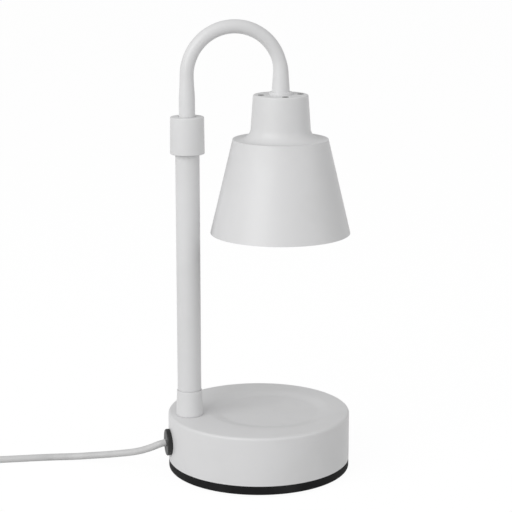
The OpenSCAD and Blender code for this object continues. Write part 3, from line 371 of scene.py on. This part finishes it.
kept("dimmer_board", finish("circuit_board", (0.03, 0.16, 0.06), (0.02, 0.1, 0.04), (0.3, 0.45), grain_size=300,
                            patch_size=90, depth=0.03))
case_screws = screws("case_screws", "dimmer_screws", "base", head=(2.7, 1.6), core=1.2, length=5.4, count=2,
                     circle=21, centre=(-307, 52, 0.3))


# The mains cord from the base to the dimmer: 5 mm round jacket of soft white plastic, pushed through the
# grommet. It leaves the base level, sags to the table and wanders off to the left, into a grooved soft relief.
cord_d = 5 * mm
lamp_route = [(-68, 0, 22), (-73, 0.6, 20.6), (-78, 3.4, 17.8), (-84, 7.8, 14.6), (-91, 13, 11.8),
              (-99, 19, 9.4), (-108, 26, 6.8), (-118, 32.5, 4.6), (-129, 37.5, 3), (-141, 40.5, 2.5),
              (-155, 42, 2.5), (-170, 43, 2.5), (-186, 44.5, 2.5), (-202, 48, 2.5), (-217, 52.5, 2.5),
              (-231, 56, 3), (-243, 57.7, 4.8), (-251, 58, 6.4), (-258, 58, 7)]


def smooth_line(stops, steps):
    """A smooth curve through the stops, with that many steps between neighbours."""
    stops = [Vector(p) for p in stops]
    ends = [2 * stops[0] - stops[1]] + stops + [2 * stops[-1] - stops[-2]]
    line = []
    for a, b, c, d in zip(ends, ends[1:], ends[2:], ends[3:]):
        for k in range(steps):
            t = k / steps
            line.append(0.5 * (2 * b + (c - a) * t + (2 * a - 5 * b + 4 * c - d) * t * t
                               + (3 * b - a - 3 * c + d) * t ** 3))
    return line + [stops[-1]]


def laid_cord(name, line, thickness, material):
    """A round cord along the line, closed at its ends."""
    curve = bpy.data.curves.new(name, "CURVE")
    curve.dimensions = "3D"
    curve.bevel_depth = thickness / 2
    curve.bevel_resolution = 5
    curve.use_fill_caps = True
    curve.materials.append(material)
    spline = curve.splines.new("POLY")
    spline.points.add(len(line) - 1)
    for point, place in zip(spline.points, line):
        point.co = (*place, 1)
    spline.use_smooth = True
    return placed(name, curve)


def relief_side(wide, slim, length, grooves):
    """A tapered relief's side with soft grooves round it, so that it bends."""
    pitch = (length - 4) / grooves
    side = []
    for i in range(grooves):
        z = 2 + pitch * i
        r = wide + (slim - wide) * z / length
        side += [(r - 0.12, z), (r, z + 0.2), (r, z + pitch * 0.36), (r - 0.14, z + pitch * 0.44),
                 (r - 0.5, z + pitch * 0.56), (r - 0.55, z + pitch * 0.7), (r - 0.5, z + pitch * 0.86)]
    return side


cord_skin = finish("cord_jacket", (0.62, 0.62, 0.62), (0.56, 0.56, 0.56), (0.42, 0.52), grain_size=900,
                   patch_size=60, depth=0.04)
relief_outline = [(0, -1.6), (3.5, -1.6), (3.5, 0), (4.1, 0), (4.4, 0.3), (4.4, 1.6), *relief_side(4.4, 3, 20, 6),
                  (3.1, 18), (3, 19.6), (2.9, 19.9), (2.7, 20), (0, 20)]
both_reliefs = bmesh.new()
for side in (-1, 1):
    outwards = (Matrix.Translation(dimmer_at + Vector((side * case_end, 0, case_axis)))
                @ Matrix.Rotation(side * math.pi / 2, 4, "Y"))
    one_relief = turned("sleeve", relief_outline, 48, outwards)
    both_reliefs.from_mesh(one_relief.data)
    bpy.data.objects.remove(one_relief)
soft_reliefs = blank("dimmer_reliefs_soft")
both_reliefs.to_mesh(soft_reliefs.data)
both_reliefs.free()
stands_for(coated(soft_reliefs, cord_skin, 50), "base", "cord_jacket", "dimmer_reliefs")

lamp_line = smooth_line([Vector(p) * mm for p in lamp_route], 6)
lamp_flex = laid_cord("lamp_flex", lamp_line, cord_d, cord_skin)
stands_for(lamp_flex, "base", "cord_jacket", "lamp_cord")


# The rest of the mains cord, from the dimmer to the moulded two-blade plug, wound into a neat round coil:
# in on the table, up a layer in half a turn, and out again on top. The plug lies on the coil.
turns_in, turns_out = 3.5, 3.75
turn_steps = 48
inner_r, coil_pitch, coil_low = 20, 5.5, 2.5
join = Vector((-383, 6))
coil_at = Vector((join.x + inner_r + turns_in * coil_pitch, join.y - 5))
plug_relief_l = 26
supply_route = [(-356, 58, 7), (-361, 58, 6.6), (-367, 57, 5.6), (-373, 53.5, 4.4), (-378.5, 48, 3.2),
                (-382, 41, 2.5), (-383, 33, 2.5), (-383, 24, 2.5), (-383, 15, 2.5), (-383, 6, 2.5)]


def coil_point(t):
    climb = max(0, min(1, (t - turns_in) / 0.5 + 0.5))
    r = inner_r + coil_pitch * abs(t - turns_in)
    a = math.pi + 2 * math.pi * t
    return Vector((coil_at.x + r * math.cos(a), coil_at.y + r * math.sin(a),
                   coil_low + coil_pitch * climb * climb * (3 - 2 * climb)))


plug_tip = Vector((coil_at.x + 10, coil_at.y - inner_r - turns_out * coil_pitch, coil_low + coil_pitch))
coil_line = [coil_point(k / turn_steps) for k in range(round((turns_in + turns_out) * turn_steps) + 1)] + [plug_tip]
supply_line = [p * mm for p in smooth_line(supply_route, 6) + coil_line]
supply_flex = laid_cord("supply_flex", supply_line, cord_d, cord_skin)
stands_for(supply_flex, "base", "cord_jacket", "supply_cord", "supply_coil")
along_x = Matrix.Translation(plug_tip * mm) @ Matrix.Rotation(math.pi / 2, 4, "Y")
from_plug = reversed(relief_side(5, 3, plug_relief_l, 7))
plug_outline = [(0, 0), (2.7, 0), (2.9, 0.1), (3, 0.4), (3.1, 2), *((r, plug_relief_l - z) for r, z in from_plug),
                (5, 24.2), (5, 26), (0, 26)]
plug_relief = turned("plug_relief_soft", plug_outline, 48, along_x)
stands_for(coated(plug_relief, cord_skin, 50), "base", "cord_jacket", "plug_relief")
plug_shell = coated(own_copy("plug_body", "plug_shell"), case_plastic, 38)
stands_for(plug_shell, "base", "white_plastic", "plug_body")
brass = finish("turned_brass", (0.66, 0.5, 0.26), (0.52, 0.38, 0.19), (0.25, 0.4), grain_size=600, patch_size=60,
               depth=0.02, metal=1.0)
kept("plug_blades", brass)


# The studio: a white sweep under the lamp, one large soft lamp high at the front left, a weak fill from the
# right and an even sky.
sweep_reach, sweep_z = 6, -1e-4
white = colour(1, 1, 1)


def plain(name, shade, glow):
    """A matt stage surface that the camera, mirrors and glass see as near white, with the lamp's shadow on it.
    From below it is clear, so that the lamp's underside can be seen."""
    material = bpy.data.materials.new(name)
    material.use_nodes = True
    tree = material.node_tree
    skin = tree.nodes["Principled BSDF"]
    skin.inputs["Base Color"].default_value = colour(shade, shade, shade)
    skin.inputs["Roughness"].default_value = 0.9
    skin.inputs["Specular IOR Level"].default_value = 0
    light = tree.nodes.new("ShaderNodeEmission")
    light.inputs["Strength"].default_value = 1.06
    rays = tree.nodes.new("ShaderNodeLightPath").outputs
    straight = maths(tree, "MAXIMUM", rays["Is Camera Ray"], rays["Is Glossy Ray"])
    through = maths(tree, "MAXIMUM", straight, rays["Is Transmission Ray"])
    both = tree.nodes.new("ShaderNodeMixShader")
    under = tree.nodes.new("ShaderNodeNewGeometry")
    clear = tree.nodes.new("ShaderNodeBsdfTransparent")
    from_above = tree.nodes.new("ShaderNodeMixShader")
    wire(tree, (maths(tree, "MULTIPLY", through, glow), both.inputs["Fac"]),
         (skin.outputs["BSDF"], both.inputs[1]), (light.outputs["Emission"], both.inputs[2]),
         (under.outputs["Backfacing"], from_above.inputs["Fac"]), (both.outputs["Shader"], from_above.inputs[1]),
         (clear.outputs["BSDF"], from_above.inputs[2]),
         (from_above.outputs["Shader"], tree.nodes["Material Output"].inputs["Surface"]))
    return material


table_sweep = blank("table_sweep")
corners = [(x * sweep_reach, y * sweep_reach, sweep_z) for x, y in ((-1, -1), (1, -1), (1, 1), (-1, 1))]
table_sweep.data.from_pydata(corners, [], [(0, 1, 2, 3)])
table_sweep.data.materials.append(plain("table_white", 0.6, 0.9))

sky = bpy.data.worlds.new("studio_sky")
bpy.context.scene.world = sky
sky.use_nodes = True
sky_tree = sky.node_tree
dim = sky_tree.nodes["Background"]
dim.inputs["Color"].default_value = white
dim.inputs["Strength"].default_value = 0.55
bright = sky_tree.nodes.new("ShaderNodeBackground")
bright.inputs["Color"].default_value = white
bright.inputs["Strength"].default_value = 1
rays = sky_tree.nodes.new("ShaderNodeLightPath").outputs
straight = maths(sky_tree, "MAXIMUM", rays["Is Camera Ray"], rays["Is Transmission Ray"])
either = sky_tree.nodes.new("ShaderNodeMixShader")
wire(sky_tree, (straight, either.inputs["Fac"]), (dim.outputs[0], either.inputs[1]),
     (bright.outputs[0], either.inputs[2]), (either.outputs[0], sky_tree.nodes["World Output"].inputs["Surface"]))


def softbox(name, place, aim, across, watts):
    light = bpy.data.lights.new(name, "AREA")
    light.shape = "DISK"
    light.size = across
    light.energy = watts
    lamp = placed(name, light)
    lamp.location = place
    lamp.rotation_euler = (Vector(aim) - Vector(place)).to_track_quat("-Z", "Y").to_euler()


middle = (0, 0, 0.15)
softbox("key_light", (-1.4, -1.05, 1.13), middle, across=1.8, watts=21)
softbox("fill_light", (1.4, -1.1, 0.8), middle, across=1.2, watts=3.3)


# Base drum: deep-drawn steel with a soft top edge and a shallow dish for the candle jar, powder coated white
# like the column, collar, hook and shade.
powder = finish("white_powder_coat", (0.74, 0.74, 0.745), (0.71, 0.71, 0.712), (0.38, 0.48), grain_size=1100,
                patch_size=14, depth=0.035)
stands_for(coated(own_copy("base_shell", "base_drum"), powder), "base", "white_paint", "base_shell")


# Base tray: black moulded plastic, its lip inside the drum and its rounded edge showing below it. Its level
# faces are shaded flat.
black_plastic = finish("black_tray_plastic", (0.015, 0.015, 0.0155), (0.026, 0.026, 0.0265), (0.6, 0.75),
                       grain_size=500, patch_size=30, depth=0.06, gloss=0.05)
tray = coated(own_copy("base_tray", "tray"), black_plastic)
for face in tray.data.polygons:
    face.use_smooth = abs(face.normal.z) < 0.999
stands_for(tray, "base", "black_plastic", "base_tray")


# Four rubber feet, moulded with two grip rings each and glued into the tray's pockets. One foot is turned and
# set out four times.
rubber = finish("black_rubber", (0.012, 0.012, 0.012), (0.02, 0.02, 0.02), (0.7, 0.85), grain_size=500,
                patch_size=40, depth=0.05, gloss=0.06)
set_round, size = recipe("set_round_a_circle", (
    ("Count", "Int"), ("Circle", "Float"), ("First Angle", "Float"), ("Centre", "Vector")))
add = partial(step, set_round)
spots, turn = points_round(set_round, size["Count"], size["Circle"], size["First Angle"])
facing = add("ShaderNodeCombineXYZ", {"Z": turn})
set_out = add("GeometryNodeInstanceOnPoints", {"Points": spots, "Instance": size["Start"], "Rotation": facing})
set_out = add("GeometryNodeTransform", {"Geometry": set_out, "Translation": size["Centre"]})
hand_over(set_round, set_out, size["Finish"])
grip_foot = [(0, 0.3), (1.6, 0.3), (1.8, 0), (3.2, 0), (3.4, 0.3), (4.6, 0.3), (4.8, 0), (6.4, 0), (6.85, 0.15),
             (7, 0.5), (7, 2), (0, 2)]
feet = worked_out(turned("grip_feet", grip_foot, 48), set_round, rubber, count=4, circle=51 * mm, first_angle=0.0,
                  centre=(0.0, 0.0, 0.0))
stands_for(coated(feet, rubber), "base", "black_rubber", "rubber_feet")


# The weight: a rough disc of cast iron that stands on the tray's floor, held by three screws from below. Four
# longer ones go through the tray's posts into the drum's bosses.
iron = finish("cast_iron_weight", (0.09, 0.09, 0.092), (0.05, 0.045, 0.042), (0.6, 0.8), grain_size=260,
              patch_size=30, depth=0.3, metal=0.8)
kept("ballast_weight", iron)
screws("weight_screws", "ballast_screws", "base", head=(3.8, 1.6), core=1.95, length=8, count=3, circle=26,
       centre=(12, 0, 0.8))
screws("tray_screws", "base_screws", "base", head=(2.8, 1.9), core=1.2, length=20, count=4, circle=54,
       centre=(0, 0, 1.4), first=45)


# Cord outlet: a black rubber bush snapped into the drum's wall, its flange outside and its soft tail inside. It
# is glossier than the feet.
bush_rubber = finish("bush_rubber", (0.012, 0.012, 0.012), (0.02, 0.02, 0.02), (0.42, 0.55), grain_size=600,
                     patch_size=60, depth=0.04, gloss=0.4)
stands_for(coated(own_copy("cord_grommet", "outlet_bush"), bush_rubber), "base", "black_rubber", "cord_grommet")


# Inside the base the cord's jacket lies under a nylon clamp bar with two screws, and its two cores go to a
# terminal block, from which two leads climb into the column.
nylon = finish("white_nylon", (0.72, 0.72, 0.7), (0.68, 0.68, 0.65), (0.4, 0.52), grain_size=500, patch_size=40,
               depth=0.03)
kept("cord_clamp", nylon)
screws("bar_screws", "clamp_screws", "base", head=(2.8, 1.9), core=1.2, length=12, count=2, circle=7,
       centre=(-42.5, 0, 28.5), first=90, tip_over=180)
kept("inner_cord", cord_skin)
kept("terminal_block", nylon)
sleeve = finish("core_sleeve", (0.5, 0.35, 0.2), (0.42, 0.28, 0.16), (0.45, 0.6), grain_size=700, patch_size=60,
                depth=0.03)
for part in ("mains_cores", "riser_leads"):
    stands_for(coated(own_copy(part, part + "_smooth"), sleeve, 50), "base", "core_sleeve", part)


# Column: a drawn steel tube in a short ferrule with a soft lower edge, both powder coated. A threaded nipple
# through its brass plug holds it down, with a washer and nut under the drum's roof.
stands_for(coated(own_copy("column_tube", "column"), powder), "base", "white_paint", "column_tube")
ferrule_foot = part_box("column_ferrule")[0][2]
outside_r, soft_edge = 9 * mm, 0.6 * mm
foot_ferrule = own_copy("column_ferrule", "foot_ferrule")
eased = bmesh.new()
eased.from_mesh(foot_ferrule.data)
outer_rim = [edge for edge in eased.edges if all(
    v.co.z - ferrule_foot < 0.01 * mm and math.hypot(v.co.x - column_x * mm, v.co.y) > outside_r
    for v in edge.verts)]
bmesh.ops.bevel(eased, geom=outer_rim, offset=soft_edge, segments=3, profile=0.5, affect="EDGES")
eased.to_mesh(foot_ferrule.data)
eased.free()
stands_for(coated(foot_ferrule, powder, 40), "base", "white_paint", "column_ferrule")
kept("column_plug", brass)
rod_bore, rod_root, rod_crest, rod_foot, rod_turns = 3.5, 4.7, 5, 32, 22
rod_top = rod_foot + rod_turns
rod_outline = [(rod_bore, rod_foot)]
for i in range(rod_turns):
    rod_outline += [(rod_root, rod_foot + i), (rod_crest, rod_foot + i + 0.5)]
rod_outline += [(rod_root, rod_top), (rod_bore, rod_top)]
nipple = turned("threaded_nipple", rod_outline, 48, Matrix.Translation((column_x * mm, 0, 0)), ring=True)
stands_for(coated(nipple, brass, 20), "base", "brass", "column_nipple")
kept("column_washer", zinc)
kept("column_nut", zinc)


# In the column's top sit a nylon guide bush and a split collet. Below them the two slack leads stand in one
# loose coil, drawn fixed as it lies at rest; in the lamp it opens and closes as the stop bush slides.
kept("guide_bush", nylon)
kept("collet", nylon)
lead_d, lead_off, coil_wide, lead_turns, lead_steps = 2.2, 1.2, 4.9, 7, 24
leads_low, leads_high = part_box("column_leads")[0][2] / mm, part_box("column_leads")[1][2] / mm - 0.05
slack = bmesh.new()
for side in (0, math.pi):
    coiled = []
    for k in range(lead_turns * lead_steps + 1):
        t = k / (lead_turns * lead_steps)
        swell = min(1, min(t, 1 - t) / 0.1)
        r = lead_off + (coil_wide - lead_off) * swell * swell * (3 - 2 * swell)
        a = math.pi / 2 + side + 2 * math.pi * lead_turns * t
        z = leads_low + (leads_high - leads_low) * t
        coiled.append(Vector((column_x + r * math.cos(a), r * math.sin(a), z)) * mm)
    strand = laid_cord("strand", coiled, lead_d * mm, sleeve)
    slack.from_mesh(strand.to_mesh())
    bpy.data.objects.remove(strand)
slack_leads = blank("slack_leads")
slack.to_mesh(slack_leads.data)
slack.free()
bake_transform(coated(slack_leads, sleeve, 50))
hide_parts("column_leads")


# Lock collar: a turned and coated sleeve that squeezes the collet when it is turned. The stop bush and its two
# spring rings slide in the column with the hook's leg.
stands_for(coated(own_copy("lock_collar", "collar"), powder), "lock_collar", "white_paint", "lock_collar")
kept("stop_bush", nylon)
kept("leg_rings", zinc)


# The hook: one steel tube bent half round over the shade. Its sliding leg is thicker than the bend, and its
# mouth flares over the shade's ring.
path_points = 320
hook_tree, size = recipe("bent_hook", (
    ("Column X", "Float"), ("Leg Foot", "Float"), ("Bend Height", "Float"), ("Mouth Height", "Float"),
    ("Bend Radius", "Float"), ("Taper Start", "Float"), ("Mouth Flare", "Float"), ("Mouth Length", "Float"),
    ("Leg Tube", "Float"), ("Bend Tube", "Float"), ("Mouth Tube", "Float")))
add, calc = partial(step, hook_tree), partial(maths, hook_tree)
bend_r = size["Bend Radius"]
up = calc("SUBTRACT", size["Bend Height"], size["Leg Foot"])
down = calc("SUBTRACT", size["Bend Height"], size["Mouth Height"])
half_round = calc("MULTIPLY", bend_r, math.pi)
total = calc("ADD", calc("ADD", up, down), half_round)
along = calc("MULTIPLY", calc("DIVIDE", add("GeometryNodeInputIndex", {}), path_points - 1.0), total)
into_bend = calc("DIVIDE", calc("SUBTRACT", along, up), bend_r)
bend = calc("MINIMUM", calc("MAXIMUM", into_bend, 0.0), math.pi)
sideways = calc("MULTIPLY", bend_r, calc("SUBTRACT", 1.0, calc("COSINE", bend)))
past_bend = calc("MAXIMUM", calc("SUBTRACT", along, calc("ADD", up, half_round)), 0.0)
climbed = calc("ADD", calc("MINIMUM", along, up), calc("MULTIPLY", bend_r, calc("SINE", bend)))
path = add("ShaderNodeCombineXYZ", {
    "X": calc("ADD", size["Column X"], sideways),
    "Z": calc("ADD", size["Leg Foot"], calc("SUBTRACT", climbed, past_bend))})
in_leg = add("ShaderNodeMapRange", {
    "Value": along, "From Min": calc("SUBTRACT", size["Taper Start"], size["Leg Foot"]), "From Max": up,
    "To Min": size["Leg Tube"], "To Max": size["Bend Tube"]}, interpolation_type="SMOOTHSTEP")
in_mouth = add("ShaderNodeMapRange", {
    "Value": along, "From Min": calc("SUBTRACT", total, size["Mouth Flare"]),
    "From Max": calc("SUBTRACT", total, size["Mouth Length"]),
    "To Min": 0.0, "To Max": calc("SUBTRACT", size["Mouth Tube"], size["Bend Tube"])})
line = add("GeometryNodeMeshToCurve", {"Mesh": add("GeometryNodeMeshLine", {"Count": path_points})})
line = add("GeometryNodeSetPosition", {"Geometry": line, "Position": path})
unit_circle = add("GeometryNodeCurvePrimitiveCircle", {"Resolution": 56, "Radius": 1.0})
tube_skin = add("GeometryNodeCurveToMesh", {
    "Curve": line, "Profile Curve": unit_circle, "Scale": calc("ADD", in_leg, in_mouth), "Fill Caps": True})
hand_over(hook_tree, tube_skin, size["Finish"])
hook = worked_out(blank("bent_hook"), hook_tree, powder, column_x=column_x * mm, leg_foot=153.1 * mm,
                  bend_height=283.6 * mm, mouth_height=271 * mm, bend_radius=33 * mm, taper_start=265.6 * mm,
                  mouth_flare=22 * mm, mouth_length=1 * mm, leg_tube=5.6 * mm, bend_tube=4.8 * mm,
                  mouth_tube=6.2 * mm)
stands_for(coated(hook, powder, 40), "hook", "white_paint", "hook_tube")
kept("hook_leads", sleeve)


# Shade: a spun steel bell, coated white inside and out. It hangs on a threaded brass tube in the hook's mouth,
# with a coated ring on top and a nut inside. The walls of the four vents round them are painted near black:
# painted shade for the dark inside of the neck seen through the vents.
stands_for(coated(own_copy("shade_ring", "ring_on_shade"), powder), "hook", "white_paint", "shade_ring")
kept("shade_nipple", brass)
kept("shade_nut", brass)
shade_top, vent_depth = 269, 1.1
vents_inner, vents_outer = 11, 17
# painted shade: a near-black colour for the vent walls, standing for the dark inside of the neck seen through them
vent_painted_shade = finish("bare_steel_edge", (0.035, 0.035, 0.035), (0.06, 0.055, 0.05), (0.45, 0.6), grain_size=900,
                    patch_size=90, depth=0.02, metal=0.6)
bell = coated(own_copy("shade_shell", "bell_shade"), powder, 40)
bell.data.materials.append(vent_painted_shade)
# the upright walls of the four vents take the painted shade
for face in bell.data.polygons:
    spot = face.center - Vector((shade_x, 0, shade_top)) * mm
    upright_wall = spot.z > -vent_depth * mm and abs(face.normal.z) < 0.1
    face.material_index = int(upright_wall and vents_inner * mm < spot.to_2d().length < vents_outer * mm)
stands_for(bell, "hook", "white_paint", "shade_shell")


# Inside the neck a pressed steel strap carries the glazed ceramic lampholder, whose two keyhole slots take
# the lamp's pins. Two screws hold it.
kept("holder_bracket", zinc)
screws("strap_screws", "holder_screws", "hook", head=(2.6, 1.9), core=1.45, length=14.5, count=2, circle=10.5,
       centre=(shade_x, 0, 246.4), first=90)
porcelain = finish("glazed_ceramic", (0.76, 0.74, 0.68), (0.7, 0.68, 0.62), (0.12, 0.22), grain_size=300,
                   patch_size=40, depth=0.02, coat=0.4)
stands_for(coated(own_copy("lampholder", "ceramic_holder"), porcelain), "hook", "ceramic", "lampholder")


# The lamp: a ceramic cap with two pins, a pressed glass bowl with a faceted mirror coat, a small halogen
# burner and a stippled front glass.
stands_for(coated(own_copy("lamp_cap", "ceramic_cap"), porcelain), "lamp", "ceramic", "lamp_cap")
kept("lamp_pins", zinc)
bowl_top, front = 230.7, 198.0
bowl_depth = bowl_top - front - 4
bowl_top_r, bowl_front_r, glass_t, levels, facets = 9, 24, 1.2, 10, 40


def bowl_r(z, inset):
    """The bowl's radius at this height, a parabola between its two ends."""
    share = (bowl_top - z) / bowl_depth
    top_r, front_r = bowl_top_r - inset, bowl_front_r - inset
    return math.sqrt(top_r ** 2 + (front_r ** 2 - top_r ** 2) * share)


mirror_coat = finish("mirror_coat", (0.85, 0.85, 0.86), (0.8, 0.8, 0.82), (0.08, 0.16), grain_size=300,
                     patch_size=40, depth=0.02, metal=1.0)
heights = [bowl_top - bowl_depth * k / levels for k in range(levels + 1)]
rim = [(25, 202), (25, 198.6), (24.4, 198), (23.8, 198), (23.8, 200.4), (22.8, 200.4)]
bowl_outline = ([(bowl_r(z, 0), z) for z in heights] + rim + [(bowl_r(z, glass_t), z) for z in reversed(heights)])
bowl = turned("mirror_bowl", bowl_outline, facets, Matrix.Translation((shade_x * mm, 0, 0)), ring=True)
bowl.data.materials.append(mirror_coat)
for face in bowl.data.polygons:
    spot = face.center - Vector((shade_x * mm, 0, 0))
    inward = face.normal.x * spot.x + face.normal.y * spot.y < 0 or spot.z > (bowl_top - 0.1) * mm
    face.use_smooth = not inward
stands_for(bowl, "lamp", "reflector_glass", "lamp_reflector")


def glass(name, tint, smooth, stipple, depth):
    """Clear glass with a pressed stipple."""
    material = bpy.data.materials.new(name)
    material.use_nodes = True
    tree = material.node_tree
    skin = tree.nodes["Principled BSDF"]
    skin.inputs["Base Color"].default_value = colour(*tint)
    skin.inputs["Roughness"].default_value = smooth
    skin.inputs["Transmission Weight"].default_value = 1
    skin.inputs["IOR"].default_value = 1.5
    spot = tree.nodes.new("ShaderNodeTexCoord")
    cells = tree.nodes.new("ShaderNodeTexVoronoi")
    cells.inputs["Scale"].default_value = stipple
    bump = tree.nodes.new("ShaderNodeBump")
    bump.inputs["Distance"].default_value = depth * mm
    wire(tree, (spot.outputs["Object"], cells.inputs["Vector"]), (cells.outputs["Distance"], bump.inputs["Height"]),
         (bump.outputs["Normal"], skin.inputs["Normal"]))
    return material


kept("lamp_burner", glass("burner_glass", (0.97, 0.98, 0.98), smooth=0.05, stipple=300, depth=0.02))
kept("lamp_lens", glass("stippled_glass", (0.96, 0.97, 0.97), smooth=0.04, stipple=420, depth=0.15))


bpy.context.scene.view_settings.view_transform = "Standard"
